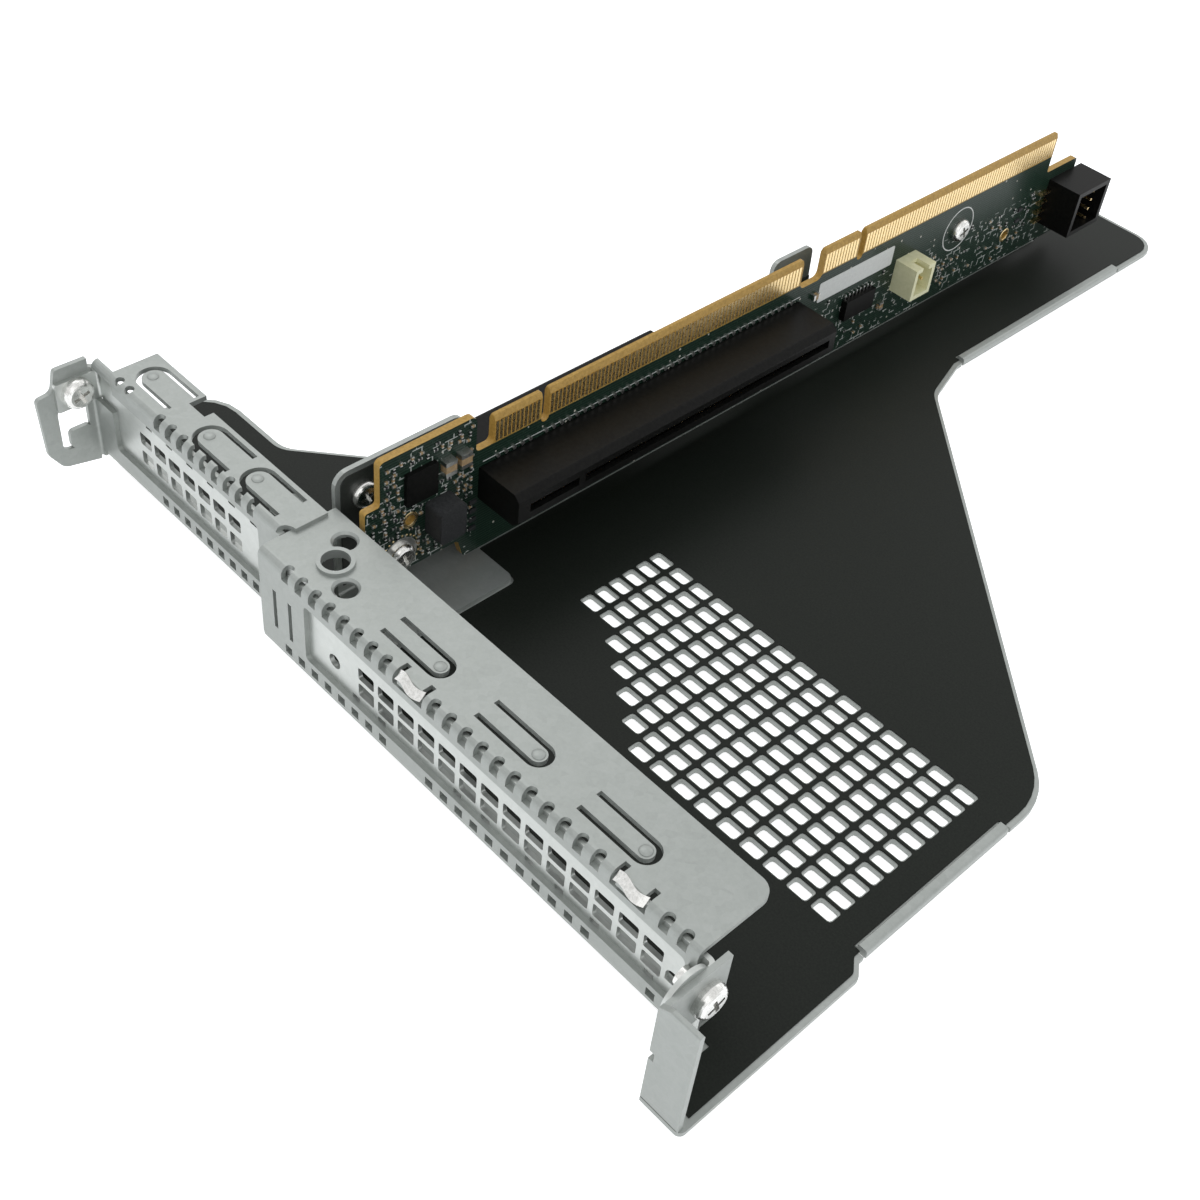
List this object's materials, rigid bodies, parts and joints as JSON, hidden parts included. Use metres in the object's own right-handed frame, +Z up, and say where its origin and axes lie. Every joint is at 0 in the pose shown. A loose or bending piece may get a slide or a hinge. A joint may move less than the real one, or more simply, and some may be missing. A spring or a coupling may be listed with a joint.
{
  "type": "riser cage bracket",
  "caption": "Folded steel riser cage bracket for a rack server, with two slot bulkheads, blank slot covers, an insulating film and an upright riser board with card sockets",
  "frame": {"origin": "underside of the base plate, below the riser board's component face at the first contact of its first edge connector", "axes": "+X along the bulkheads to the right, +Y back along the riser board, +Z up"},
  "size_m": [0.1852, 0.27, 0.0374],
  "materials": {
    "galvanised_steel": "satin galvanised",
    "bright_steel": "bright nickel plate",
    "black_film": "satin black film",
    "green_board": "glossy dark green solder mask",
    "gold_contacts": "gold plate",
    "black_plastic": "moulded matt black",
    "cream_plastic": "moulded cream",
    "dark_component": "dark grey moulded",
    "ceramic": "tan ceramic",
    "white_paper": "bare white label"
  },
  "bodies": {
    "root": {"cage_plate": "galvanised_steel", "insulating_film": "black_film", "fh_bulkhead": "galvanised_steel", "lp_bulkhead": "galvanised_steel", "fh_slot_cover": "bright_steel", "lp_slot_cover": "bright_steel", "fh_cover_screw": "bright_steel", "lp_cover_screw": "bright_steel", "riser_wall": "galvanised_steel", "wall_film": "black_film", "board_standoffs": "bright_steel", "board_screws": "bright_steel", "wall_screw": "bright_steel", "riser_board": "green_board", "edge_contacts": "gold_contacts", "x16_socket_housing": "black_plastic", "x16_socket_contacts": "gold_contacts", "x16_solder_tails": "bright_steel", "rear_socket_housing": "black_plastic", "rear_socket_contacts": "gold_contacts", "power_header": "black_plastic", "power_header_pins": "gold_contacts", "sense_header": "cream_plastic", "sense_header_pins": "gold_contacts", "power_inductor": "dark_component", "controller_ic": "black_plastic", "ceramic_capacitors": "ceramic", "chip_parts": "dark_component", "soic_body": "black_plastic", "soic_leads": "bright_steel", "blank_label": "white_paper"}
  },
  "joints": []
}
